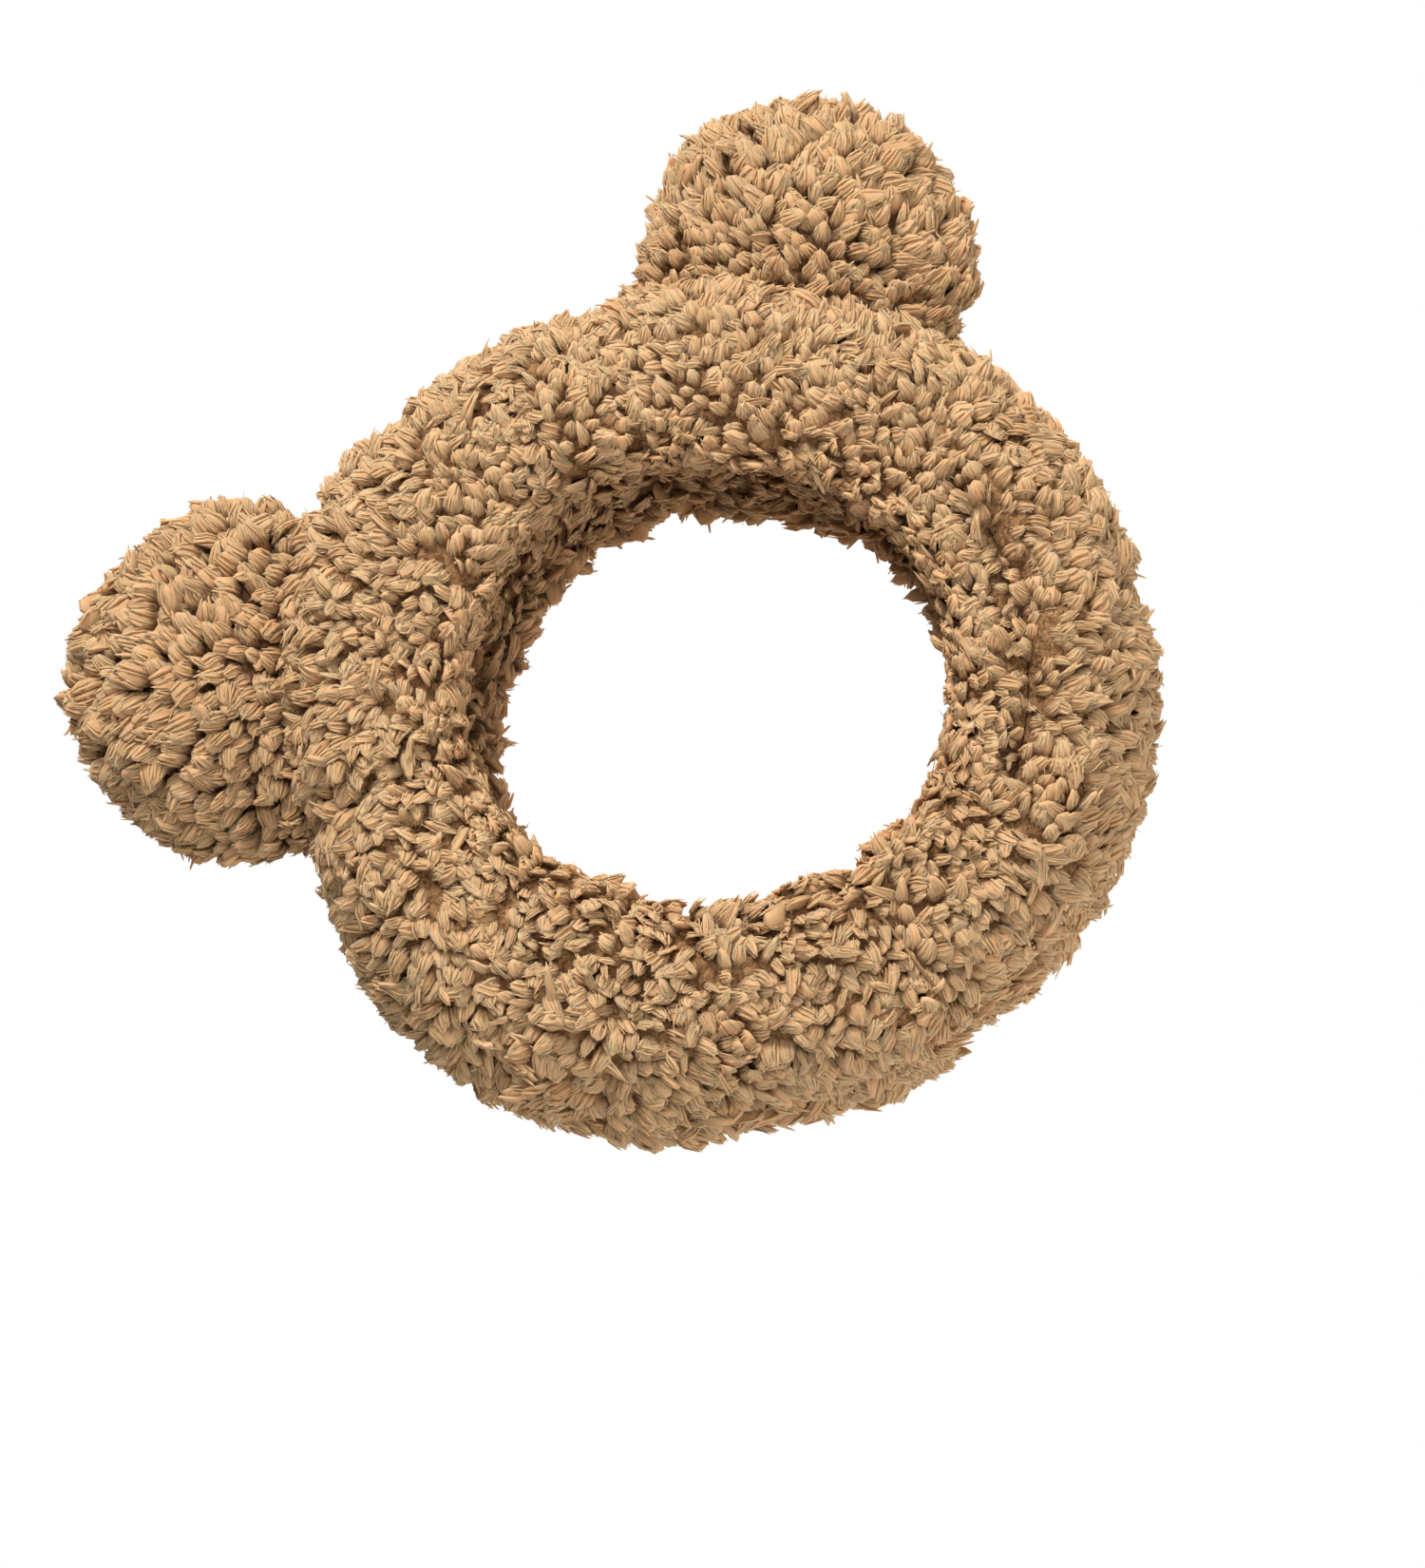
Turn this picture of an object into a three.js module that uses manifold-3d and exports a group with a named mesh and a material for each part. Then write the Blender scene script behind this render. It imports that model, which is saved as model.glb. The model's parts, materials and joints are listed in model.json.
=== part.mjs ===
// Plush animal-ears headband: a wadded teddy-fleece ring with two round stuffed ears.
//
// Frame, in millimetres: +Z is up as worn, the ring's axis lies along Y, the front of
// the headband faces -Y, and the origin is the centre of the head opening.
// Fleece sizes are given to the mean surface of the pile.

import * as THREE from 'three';
import { mergeVertices } from 'three/addons/utils/BufferGeometryUtils.js';
import Module from 'manifold-3d';

const wasm = await Module();
wasm.setup();

// The stuffed ring
const ringRadius = 84.5; // centre of the ring's cross-section
const halfRadial = 28.5; // half the section's size along the radius
const halfAxial = 42; // half the section's size along Y
const outerPower = 2.4; // superellipse power of the crowned outer side
const innerPower = 3; // superellipse power of the squarer head side
const lipPull = 5; // how far the head side is drawn back between its two lips
const lipSpan = 28; // Y distance from the middle to where that hollow runs out
const grooveDepth = 3; // the edge seams pull the fleece in by this much
const grooveWidth = 6; // width scale of that groove
const fleeceThickness = 9; // knit backing and pile together
const ringSegments = 48;
const skinSteps = 10; // sides of half a section, on the pile
const backingSteps = 8; // and on the backing, shared by what lies against it

// Gaps between pieces that lie against each other
const clearance = 0.4;
const seamGap = 0.4;
const napeGap = 2; // room for the closing stitches between the panels' butted ends

// Elastic strip between the head-side fleece and the wadding
const elasticWidth = 25;
const elasticThickness = 1.2;
const elasticSideRoom = 0.5;

// Sewing thread, drawn as the rounded cord of a finished seam
const threadRadius = 0.7;
const napeThreadRadius = 0.6;
const threadSides = 5;
const threadRoom = 2.2;
const napeSeamInset = 4.5;
const seamOpening = 0.04; // radians left between the two ends of a closing seam
const seamSteps = 36;
const stitchSpace = 2 * (threadRadius + clearance); // between the ring and an ear's base
const bendRoom = 0.7; // more of it, so a bent ear still clears its own stitches

// The ears: D-shaped pads, each a disc whose lower part ends on the ring
const earAngle = THREE.MathUtils.degToRad(49); // from straight up, to each side
const earDistance = 120; // ring centre to disc centre
const earRadius = 44;
const earHalfDepth = 26;
const earSegments = 28;
const earStuffingRoom = 1.9; // at the rim, where the edge seam runs
const baseStitchHalfLength = 37;
const baseStitchHalfDepth = 20.5;
const hingeRadius = ringRadius + halfRadial; // an ear bends where it is sewn on
const earFlex = THREE.MathUtils.degToRad(25); // each way, forwards and backwards

const fleece = new THREE.MeshStandardMaterial({ color: 0xa9855f, roughness: 0.95, metalness: 0 });
const wadding = new THREE.MeshStandardMaterial({ color: 0xece8de, roughness: 0.9, metalness: 0 });
const elasticWeb = new THREE.MeshStandardMaterial({ color: 0xe6e2d8, roughness: 0.8, metalness: 0 });
const thread = new THREE.MeshStandardMaterial({ color: 0x8a6742, roughness: 0.7, metalness: 0 });

const headband = new THREE.Group();

function addMesh(name, geometry, material) {
  const mesh = new THREE.Mesh(geometry, material);
  mesh.name = name;
  headband.add(mesh);
}

// A closed mesh as a manifold solid, with its faces turned outwards.
function toSolid(geometry) {
  const bare = geometry.clone();
  bare.deleteAttribute('normal');
  bare.deleteAttribute('uv');
  const merged = mergeVertices(bare, 1e-4);
  const position = merged.attributes.position.array;
  const corner = [0, 1, 2].map(() => new THREE.Vector3());
  const triangles = [];
  let volume = 0;
  for (let i = 0; i < merged.index.count; i += 3) {
    const ids = [0, 1, 2].map((k) => merged.index.getX(i + k));
    if (ids[0] === ids[1] || ids[1] === ids[2] || ids[2] === ids[0]) continue;
    ids.forEach((id, k) => corner[k].fromArray(position, 3 * id));
    volume += corner[0].dot(corner[1].clone().cross(corner[2]));
    triangles.push(...ids);
  }
  if (volume < 0) triangles.reverse();
  const mesh = new wasm.Mesh({
    numProp: 3,
    vertProperties: new Float32Array(position),
    triVerts: new Uint32Array(triangles),
  });
  return new wasm.Manifold(mesh);
}

// A manifold solid as a flat-shaded geometry.
function toGeometry(solid) {
  const mesh = solid.getMesh();
  const indexed = new THREE.BufferGeometry();
  indexed.setAttribute('position', new THREE.BufferAttribute(mesh.vertProperties, 3));
  indexed.setIndex(new THREE.BufferAttribute(mesh.triVerts, 1));
  const geometry = indexed.toNonIndexed();
  geometry.computeVertexNormals();
  return geometry;
}

// A profile of [radius, y] points turned about the Y axis.
function latheSolid(profile, segments) {
  const points = profile.map(([radius, y]) => new THREE.Vector2(radius, y));
  return toSolid(new THREE.LatheGeometry(points, segments));
}

function closedProfile(points) {
  return [...points, points[0]];
}

function circleProfile(centreRadius, centreY, radius) {
  const points = [];
  for (let i = 0; i < threadSides; i += 1) {
    const turn = (2 * Math.PI * i) / threadSides;
    points.push([centreRadius + radius * Math.cos(turn), centreY + radius * Math.sin(turn)]);
  }
  return closedProfile(points);
}

// A cord of thread along a curve that stops just short of its own start.
function cordSolid(points, radius, steps) {
  const section = new THREE.Shape();
  for (let i = 0; i < threadSides; i += 1) {
    const turn = (2 * Math.PI * i) / threadSides;
    const [x, y] = [radius * Math.cos(turn), radius * Math.sin(turn)];
    if (i === 0) section.moveTo(x, y);
    else section.lineTo(x, y);
  }
  const path = new THREE.CatmullRomCurve3(points);
  return toSolid(new THREE.ExtrudeGeometry(section, { steps, extrudePath: path, bevelEnabled: false }));
}

function signedPower(value, power) {
  return Math.sign(value) * Math.abs(value) ** power;
}

// A point of the ring's section at turn t: 0 is the front edge seam, a quarter turn the
// crown of the outer side, half a turn the rear edge seam, three quarters the head side.
function sectionPoint(t, inset, groove) {
  const power = 2 / (Math.sin(t) >= 0 ? outerPower : innerPower);
  let y = -(halfAxial - inset) * signedPower(Math.cos(t), power);
  let rise = (halfRadial - inset) * signedPower(Math.sin(t), power);
  if (rise < 0 && Math.abs(y) < lipSpan) {
    rise += lipPull * Math.cos((Math.PI * y) / (2 * lipSpan)) ** 2;
  }
  y -= Math.sign(y) * groove * Math.exp(-((rise / grooveWidth) ** 2));
  return [ringRadius + rise, y];
}

function sectionArc(from, to, count, inset, groove = grooveDepth) {
  const points = [];
  for (let i = 0; i <= count; i += 1) {
    points.push(sectionPoint(from + ((to - from) * i) / count, inset, groove));
  }
  return points;
}

// A fleece panel: half of the section, as a channel whose edges meet at the two seams.
function panelProfile(side) {
  const skin = sectionArc(0, side * Math.PI, skinSteps, 0);
  const backing = sectionArc(side * Math.PI, 0, backingSteps, fleeceThickness);
  for (const edge of [skin[0], skin.at(-1), backing[0], backing.at(-1)]) {
    edge[0] = ringRadius + (side * seamGap) / 2;
  }
  return closedProfile([...skin, ...backing]);
}

// The wadding fills the two panels, with a flat-bottomed recess for the elastic.
const elasticInner = ringRadius - halfRadial + fleeceThickness + lipPull + clearance;
const recessFloor = elasticInner + elasticThickness + clearance;
const recessHalf = elasticWidth / 2 + elasticSideRoom;

function waddingProfile() {
  const inset = fleeceThickness + clearance;
  const groove = grooveDepth + threadRoom;
  const loop = sectionArc(0, 2 * Math.PI, 2 * backingSteps, inset, groove).slice(0, -1);
  const inRecess = ([radius, y]) => radius < ringRadius && Math.abs(y) < recessHalf;
  const first = loop.findIndex(inRecess);
  const [outside, inside] = [loop[first - 1], loop[first]];
  const reach = (outside[1] - recessHalf) / (outside[1] - inside[1]);
  const mouthRadius = outside[0] + reach * (inside[0] - outside[0]);
  const kept = loop.filter((point) => !inRecess(point));
  kept.splice(
    first,
    0,
    [mouthRadius, recessHalf],
    [recessFloor, recessHalf],
    [recessFloor, -recessHalf],
    [mouthRadius, -recessHalf],
  );
  return closedProfile(kept);
}

// The panels and the wadding are strips, closed into a ring at the nape, straight down.
function napeCut() {
  const reach = 2 * (ringRadius + halfRadial);
  const gap = new THREE.BoxGeometry(napeGap, reach, reach);
  gap.translate(0, 0, -reach / 2);
  return toSolid(gap);
}

function addRing() {
  const nape = napeCut();
  const strips = [
    ['band_outer_fleece', panelProfile(1), fleece],
    ['band_inner_fleece', panelProfile(-1), fleece],
    ['band_wadding', waddingProfile(), wadding],
  ];
  for (const [name, profile, material] of strips) {
    const strip = latheSolid(profile, ringSegments).subtract(nape);
    addMesh(name, toGeometry(strip), material);
  }

  const half = elasticWidth / 2;
  const elasticOuter = elasticInner + elasticThickness;
  const elasticProfile = closedProfile([
    [elasticInner, -half],
    [elasticOuter, -half],
    [elasticOuter, half],
    [elasticInner, half],
  ]);
  addMesh('band_elastic', toGeometry(latheSolid(elasticProfile, ringSegments)), elasticWeb);

  const seamY = halfAxial - grooveDepth - fleeceThickness - clearance - threadRadius;
  for (const [name, y] of [['band_front_seam', -seamY], ['band_rear_seam', seamY]]) {
    const seam = latheSolid(circleProfile(ringRadius, y, threadRadius), ringSegments);
    addMesh(name, toGeometry(seam), thread);
  }

  // The closing seam runs round the section at the nape, from the head side and back to it.
  const start = 1.5 * Math.PI + seamOpening;
  const end = start + 2 * (Math.PI - seamOpening);
  const route = sectionArc(start, end, seamSteps, napeSeamInset);
  const napeSeam = cordSolid(
    route.map(([radius, y]) => new THREE.Vector3(0, y, -radius)),
    napeThreadRadius,
    seamSteps,
  );
  addMesh('band_nape_seam', toGeometry(napeSeam), thread);
}

// Half of an ear's shell, front (side -1) or back (side 1), as a bowl about its own axis.
function earPanelProfile(side) {
  const count = 8;
  const edgeY = (side * seamGap) / 2;
  const skin = [];
  const backing = [];
  for (let i = 0; i <= count; i += 1) {
    const turn = (Math.PI / 2) * (i / count);
    const [across, deep] = [Math.sin(turn), side * Math.cos(turn)];
    skin.push([earRadius * across, earHalfDepth * deep]);
    backing.push([(earRadius - fleeceThickness) * across, (earHalfDepth - fleeceThickness) * deep]);
  }
  skin[0][0] = 0;
  backing[0][0] = 0;
  skin[count][1] = edgeY;
  backing[count][1] = edgeY;
  return [...skin, ...backing.reverse()];
}

function earStuffingProfile() {
  const count = 12;
  const radius = earRadius - fleeceThickness - earStuffingRoom;
  const halfDepth = earHalfDepth - fleeceThickness - clearance;
  const points = [];
  for (let i = 0; i <= count; i += 1) {
    const turn = Math.PI * (i / count);
    points.push([radius * Math.sin(turn), -halfDepth * Math.cos(turn)]);
  }
  points[0][0] = 0;
  points[count][0] = 0;
  return points;
}

// The route of the stitches that hold an ear's base, lying on the ring's outer side.
function baseStitchRoute() {
  const points = [];
  for (let i = 0; i <= seamSteps; i += 1) {
    const turn = seamOpening + (2 * (Math.PI - seamOpening) * i) / seamSteps;
    const y = baseStitchHalfDepth * Math.sin(turn);
    const crown = (1 - Math.abs(y / halfAxial) ** outerPower) ** (1 / outerPower);
    const radius = ringRadius + halfRadial * crown + stitchSpace / 2;
    const along = (baseStitchHalfLength / hingeRadius) * Math.cos(turn);
    points.push(new THREE.Vector3(radius * Math.sin(along), y, radius * Math.cos(along)));
  }
  return points;
}

// What an upright ear keeps clear of while it bends: the ring with its base stitches on
// it, turned to both ends of the bend about the line where the ear is sewn on.
function earKeepOut() {
  const room = stitchSpace + bendRoom;
  const ringProfile = closedProfile(sectionArc(0, 2 * Math.PI, 2 * skinSteps, -room).slice(0, -1));
  const ring = latheSolid(ringProfile, ringSegments);
  const turned = [-earFlex, 0, earFlex].map((bend) => ring
    .translate([0, 0, -hingeRadius])
    .rotate([THREE.MathUtils.radToDeg(bend), 0, 0])
    .translate([0, 0, hingeRadius]));
  return wasm.Manifold.union(turned);
}

// Every piece of an ear is made upright above the ring, cut to the keep-out, and leaned
// to its own side about the ring's axis.
function addEar(name, angle, keepOut) {
  const lean = (solid) => solid.rotate([0, THREE.MathUtils.radToDeg(angle), 0]);
  const addCut = (piece, profile, material) => {
    const whole = latheSolid(profile, earSegments).translate([0, 0, earDistance]);
    addMesh(`${name}_${piece}`, toGeometry(lean(whole.subtract(keepOut))), material);
  };
  addCut('front_fleece', earPanelProfile(-1), fleece);
  addCut('back_fleece', earPanelProfile(1), fleece);
  addCut('stuffing', earStuffingProfile(), wadding);
  const seamRadius = earRadius - fleeceThickness - clearance - threadRadius / 2;
  addCut('edge_seam', circleProfile(seamRadius, 0, threadRadius / 2), thread);
  const stitches = cordSolid(baseStitchRoute(), threadRadius, seamSteps);
  addMesh(`${name}_base_stitching`, toGeometry(lean(stitches)), thread);
}

addRing();
const keepOut = earKeepOut();
addEar('left_ear', -earAngle, keepOut);
addEar('right_ear', earAngle, keepOut);

export default headband;
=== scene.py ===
import json
import math

import bpy
import numpy as np
from mathutils import Matrix, Vector, kdtree

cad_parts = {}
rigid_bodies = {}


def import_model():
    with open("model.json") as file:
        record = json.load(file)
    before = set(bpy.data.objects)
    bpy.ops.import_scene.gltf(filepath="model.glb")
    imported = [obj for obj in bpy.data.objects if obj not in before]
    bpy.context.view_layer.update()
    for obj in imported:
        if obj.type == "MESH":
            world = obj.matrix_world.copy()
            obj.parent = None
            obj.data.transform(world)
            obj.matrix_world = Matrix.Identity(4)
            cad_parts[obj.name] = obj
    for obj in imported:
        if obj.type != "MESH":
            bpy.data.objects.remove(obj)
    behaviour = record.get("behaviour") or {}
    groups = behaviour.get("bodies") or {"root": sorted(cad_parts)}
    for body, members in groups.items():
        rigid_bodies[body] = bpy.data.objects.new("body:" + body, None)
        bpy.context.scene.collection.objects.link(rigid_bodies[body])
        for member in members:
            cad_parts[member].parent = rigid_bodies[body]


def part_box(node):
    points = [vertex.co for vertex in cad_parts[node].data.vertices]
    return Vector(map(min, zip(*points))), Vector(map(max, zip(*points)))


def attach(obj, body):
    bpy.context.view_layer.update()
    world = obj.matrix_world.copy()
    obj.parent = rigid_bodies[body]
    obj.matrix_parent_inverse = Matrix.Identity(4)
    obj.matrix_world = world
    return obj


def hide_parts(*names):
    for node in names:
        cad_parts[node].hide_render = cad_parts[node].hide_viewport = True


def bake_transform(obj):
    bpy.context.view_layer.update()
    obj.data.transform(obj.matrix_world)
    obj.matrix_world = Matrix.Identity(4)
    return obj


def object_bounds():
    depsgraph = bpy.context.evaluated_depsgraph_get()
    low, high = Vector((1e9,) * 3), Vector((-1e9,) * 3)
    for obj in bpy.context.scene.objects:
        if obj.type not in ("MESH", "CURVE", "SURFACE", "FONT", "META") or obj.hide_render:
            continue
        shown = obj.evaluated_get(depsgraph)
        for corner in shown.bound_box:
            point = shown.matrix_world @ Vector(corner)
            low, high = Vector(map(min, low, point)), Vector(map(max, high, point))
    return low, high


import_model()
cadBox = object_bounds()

scene = bpy.context.scene
fullTurn = 2 * math.pi


# Half the size of a CAD node's box along one axis.
def halfSize(node, axis):
    low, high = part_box(node)
    return (high[axis] - low[axis]) / 2


# the ring's shape, shared by everything that grows on it; metres
ring = {
    "midRadius": halfSize("band_front_seam", 0) - 0.0007,  # centre of the stuffed section
    "outerRadius": halfSize("band_outer_fleece", 0),
    "halfAxial": 0.0405,
    "outerPower": 2.4,  # superellipse power of the outer side
    "innerPower": 3.0,  # and of the head side
    "lipPull": 0.005,  # hollow of the head side between its two lips
    "lipSpan": 0.028,
    "groundDepth": 0.0043,  # knit backing and packed pile lie this far under the pile's surface
    "groundRough": 0.0005,
    "leastPacked": 0.0005,  # of packed pile over the knit
    "backingDepth": 0.0092,
    "wallHollow": 0.0026,  # the middle of the head side lies deeper than its lips
    "wallReach": 0.021,  # from the middle towards either lip
    "undercut": 0.0040,  # a further hollow just behind the front lip
    "undercutPlace": -0.015,
    "undercutWidth": 0.008,
    "rearReach": 0.02,  # how fast the rear half's own shape sets in
    "creaseWander": 0.003,
    "unevenness": [(0.0007, 0.062, 3), (0.0004, 0.021, 4), (0.0006, 0.013, 6)],  # height, size, seed
}
ring["halfRadial"] = ring["outerRadius"] - ring["midRadius"]

# the edge seams draw the fleece in; deepest beside the nape, on the wearer's left, where the pile is
# parted and no lock stands within bare of the seam
grooveSpec = {"depth": 0.0068, "least": 0.11, "width": 0.0042, "place": 124, "spread": 34,
              "bare": 0.0005}
# the closing seam at the nape
napeSpec = {"depth": 0.0036, "width": 0.0085}
# creases across the ring: degrees round from the crown, depth, width
creases = [(57, 0.0016, 0.0065), (-69, 0.0030, 0.0060), (-16, 0.0016, 0.0080),
           (112, 0.0020, 0.0070), (-128, 0.0020, 0.0080), (22, 0.0014, 0.0070)]


# Each wave is sin(k.p + phase) with k of a random direction, so the sum is smooth everywhere.
def softNoise(points, size, seed, waves=14):
    rng = np.random.default_rng(seed)
    direction = rng.normal(size=(waves, 3))
    direction /= np.linalg.norm(direction, axis=1, keepdims=True)
    k = direction * (fullTurn / size) * rng.uniform(0.6, 1.5, (waves, 1))
    phase = rng.uniform(0, fullTurn, waves)
    return np.sin(points @ k.T + phase).sum(axis=1) / math.sqrt(waves / 2)


# Superellipse: y = -a sign(cos t)|cos t|^(2/n), rise = b sign(sin t)|sin t|^(2/n); the head side is
# hollowed by cos^2.
def sectionCurve(turn):
    power = np.where(np.sin(turn) >= 0, 2 / ring["outerPower"], 2 / ring["innerPower"])
    c, s = np.cos(turn), np.sin(turn)
    y = -ring["halfAxial"] * np.sign(c) * np.abs(c) ** power
    rise = ring["halfRadial"] * np.sign(s) * np.abs(s) ** power
    hollow = ring["lipPull"] * np.cos(math.pi * y / (2 * ring["lipSpan"])) ** 2
    return rise + np.where((rise < 0) & (np.abs(y) < ring["lipSpan"]), hollow, 0), y


# The section measured by its own length from the front seam, with its direction, for looking up.
def measureSection():
    turn = np.linspace(0, fullTurn, 5761)
    rise, y = sectionCurve(turn)
    along = np.concatenate([[0], np.cumsum(np.hypot(np.diff(rise), np.diff(y)))])
    even = np.linspace(0, along[-1], 1200)
    rise, y = np.interp(even, along, rise), np.interp(even, along, y)
    smooth = np.ones(15) / 15
    wrap = lambda v: np.concatenate([v[-9:-1], v, v[1:9]])
    dr = np.convolve(np.gradient(wrap(rise)), smooth, "same")[8:-8]
    dy = np.convolve(np.gradient(wrap(y)), smooth, "same")[8:-8]
    size = np.hypot(dr, dy)
    return {"along": even, "rise": rise, "y": y, "tr": dr / size, "ty": dy / size,
            "outerLength": np.interp(math.pi, turn, along), "length": along[-1]}


section = measureSection()


# hand stuffing of the crowned side, the head side and the head side's rear half: degrees round from
# the crown, how far in from the true ring, spread in degrees
outerShape = [(112, -0.0044, 28), (-116, -0.0056, 21), (8, 0.0032, 24), (-149, 0.0024, 16),
              (-24, -0.0042, 17)]
innerShape = [(116, 0.0036, 36), (-122, -0.0046, 22), (-172, -0.0056, 20), (157, 0.0026, 14),
              (-84, 0.0026, 12), (-46, 0.0010, 14)]
rearShape = [(-18, -0.0040, 36), (52, -0.0028, 16), (92, 0.0034, 16)]


# Signed distance round the ring from a place given in degrees.
def roundDistance(angle, degrees):
    return (np.mod(angle - math.radians(degrees) + math.pi, fullTurn) - math.pi) * ring["midRadius"]


# Distance along the section to the nearer edge seam.
def seamDistance(along):
    along = np.mod(along, section["length"])
    ends = np.array([0, section["outerLength"], section["length"]])
    return np.abs(along[..., None] - ends).min(axis=-1)


# Distance round the ring from a place, in spreads: angle / spread, both at the ring's mid radius.
def inSpreads(angle, place, spread):
    return roundDistance(angle, place) / (math.radians(spread) * ring["midRadius"])


# How far the surface sinks: bell curves exp(-(distance / width)^2) summed for seams, creases, nape
# and stuffing, less noise.
def settle(points, angle, along):
    depth = -sum(size * softNoise(points, reach, seed) for size, reach, seed in ring["unevenness"])
    wander = ring["creaseWander"] * softNoise(points, 0.05, 5)
    for place, deep, width in creases:
        depth += deep * np.exp(-((roundDistance(angle, place) + wander) / width) ** 2)
    depth += napeSpec["depth"] * np.exp(-(roundDistance(angle, 180) / napeSpec["width"]) ** 2)
    rise = np.interp(along, section["along"], section["rise"]) / ring["halfRadial"]
    for shape, side in ((outerShape, 1), (innerShape, -1)):
        for place, deep, spread in shape:
            away = inSpreads(angle, place, spread)
            depth += deep * np.exp(-away ** 2) * np.clip(side * rise, 0, 1) ** 0.5
    for place, deep, spread in rearShape:
        away = inSpreads(angle, place, spread)
        rearward = np.clip(points[..., 1] / ring["rearReach"], 0, 1)
        depth += deep * np.exp(-away ** 2) * np.clip(-rise, 0, 1) * rearward
    hollow = ring["wallHollow"] * np.exp(-(points[..., 1] / ring["wallReach"]) ** 4)
    undercut = np.exp(-((points[..., 1] - ring["undercutPlace"]) / ring["undercutWidth"]) ** 2)
    depth += np.clip(-rise, 0, 1) * (hollow + ring["undercut"] * undercut)
    beside = inSpreads(angle, grooveSpec["place"], grooveSpec["spread"])
    groove = grooveSpec["depth"] * (grooveSpec["least"] + (1 - grooveSpec["least"]) * np.exp(-beside ** 2))
    return depth + groove * np.exp(-(seamDistance(along) / grooveSpec["width"]) ** 2)


# Point = ring circle of radius midRadius + rise at height y, then along the normal by
# height - settle, never under the backing; short is how much of the settling was left over.
def ringSurface(angle, along, height):
    along = np.mod(along, section["length"])
    rise, y, tr, ty = (np.interp(along, section["along"], section[k]) for k in ("rise", "y", "tr", "ty"))
    s, c, zero = np.sin(angle), np.cos(angle), np.zeros_like(angle)
    radius = ring["midRadius"] + rise
    point = np.stack([radius * s, y, radius * c], axis=-1)
    normal = np.stack([ty * s, -tr, ty * c], axis=-1)
    forward = np.stack([tr * s, ty, tr * c], axis=-1)
    around = np.stack([c, zero, -s], axis=-1)
    lowest = np.minimum(height, ring["leastPacked"] - ring["backingDepth"])
    wanted = height - settle(point, angle, along)
    raised = np.maximum(wanted, lowest)
    return point + normal * raised[..., None], normal, forward, around, raised - wanted


# Closed sweep: a loop of points carried round the ring in steps; both ways wrap.
def wrappedGrid(points):
    steps, sides = points.shape[:2]
    i, j = np.meshgrid(np.arange(steps), np.arange(sides), indexing="ij")
    at = lambda a, b: (a % steps) * sides + (b % sides)
    quads = np.stack([at(i, j), at(i, j + 1), at(i + 1, j + 1), at(i + 1, j)], axis=-1)
    return points.reshape(-1, 3), quads.reshape(-1, 4)


# Six times the volume inside the quads: a.(b x c) + a.(c x d) summed; below 0 when they face inwards.
def signedVolume(points, quads):
    a, b, c, d = (points[quads[:, k]] for k in range(4))
    return (np.einsum("ij,ij->i", a, np.cross(b, c)) + np.einsum("ij,ij->i", a, np.cross(c, d))).sum()


# Rings of points joined by quads, each ring closed round.
def tubeQuads(levels, sides):
    i, j = np.meshgrid(np.arange(levels - 1), np.arange(sides), indexing="ij")
    at = lambda a, b: a * sides + b % sides
    return np.stack([at(i, j), at(i, j + 1), at(i + 1, j + 1), at(i + 1, j)], axis=-1).reshape(-1, 4)


# A mesh becomes a smooth piece of one material, standing at the origin.
def placePiece(name, mesh, material):
    mesh.shade_smooth()
    mesh.materials.append(material)
    piece = bpy.data.objects.new(name, mesh)
    scene.collection.objects.link(piece)
    return piece


# A closed piece from points and faces, turned about when the given quads face inwards.
def closedPiece(name, points, faces, quads, material):
    if signedVolume(points, quads) < 0:
        faces = [face[::-1] for face in faces]
    mesh = bpy.data.meshes.new(name)
    mesh.from_pydata(points.tolist(), [], faces)
    return placePiece(name, mesh, material)


# A fresh material with its nodes, its links and its shader.
def newMaterial(name):
    material = bpy.data.materials.new(name)
    material.use_nodes = True
    nodes, links = material.node_tree.nodes, material.node_tree.links
    return material, nodes, links, nodes["Principled BSDF"]


# A node with its sockets, or else its own settings, filled in by name.
def addNode(nodes, kind, **values):
    node = nodes.new(kind)
    for key, value in values.items():
        if key in node.inputs:
            node.inputs[key].default_value = value
        else:
            setattr(node, key, value)
    return node


# A smooth colour ramp through the stops, each a place from 0 to 1 and a colour.
def ramp(nodes, stops):
    node = nodes.new("ShaderNodeValToRGB")
    node.color_ramp.interpolation = "B_SPLINE"
    elements = node.color_ramp.elements
    while len(elements) < len(stops):
        elements.new(0.5)
    for element, (place, colour) in zip(elements, stops):
        element.position = place
        element.color = (*colour, 1)
    return node


# how much each of these lightens a lock, before less is taken off
pileWeights = {"reach": 0.42, "tone": 0.26, "grain": 0.10, "slow": 0.26, "fibres": 0.28, "less": 0.10}


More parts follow.
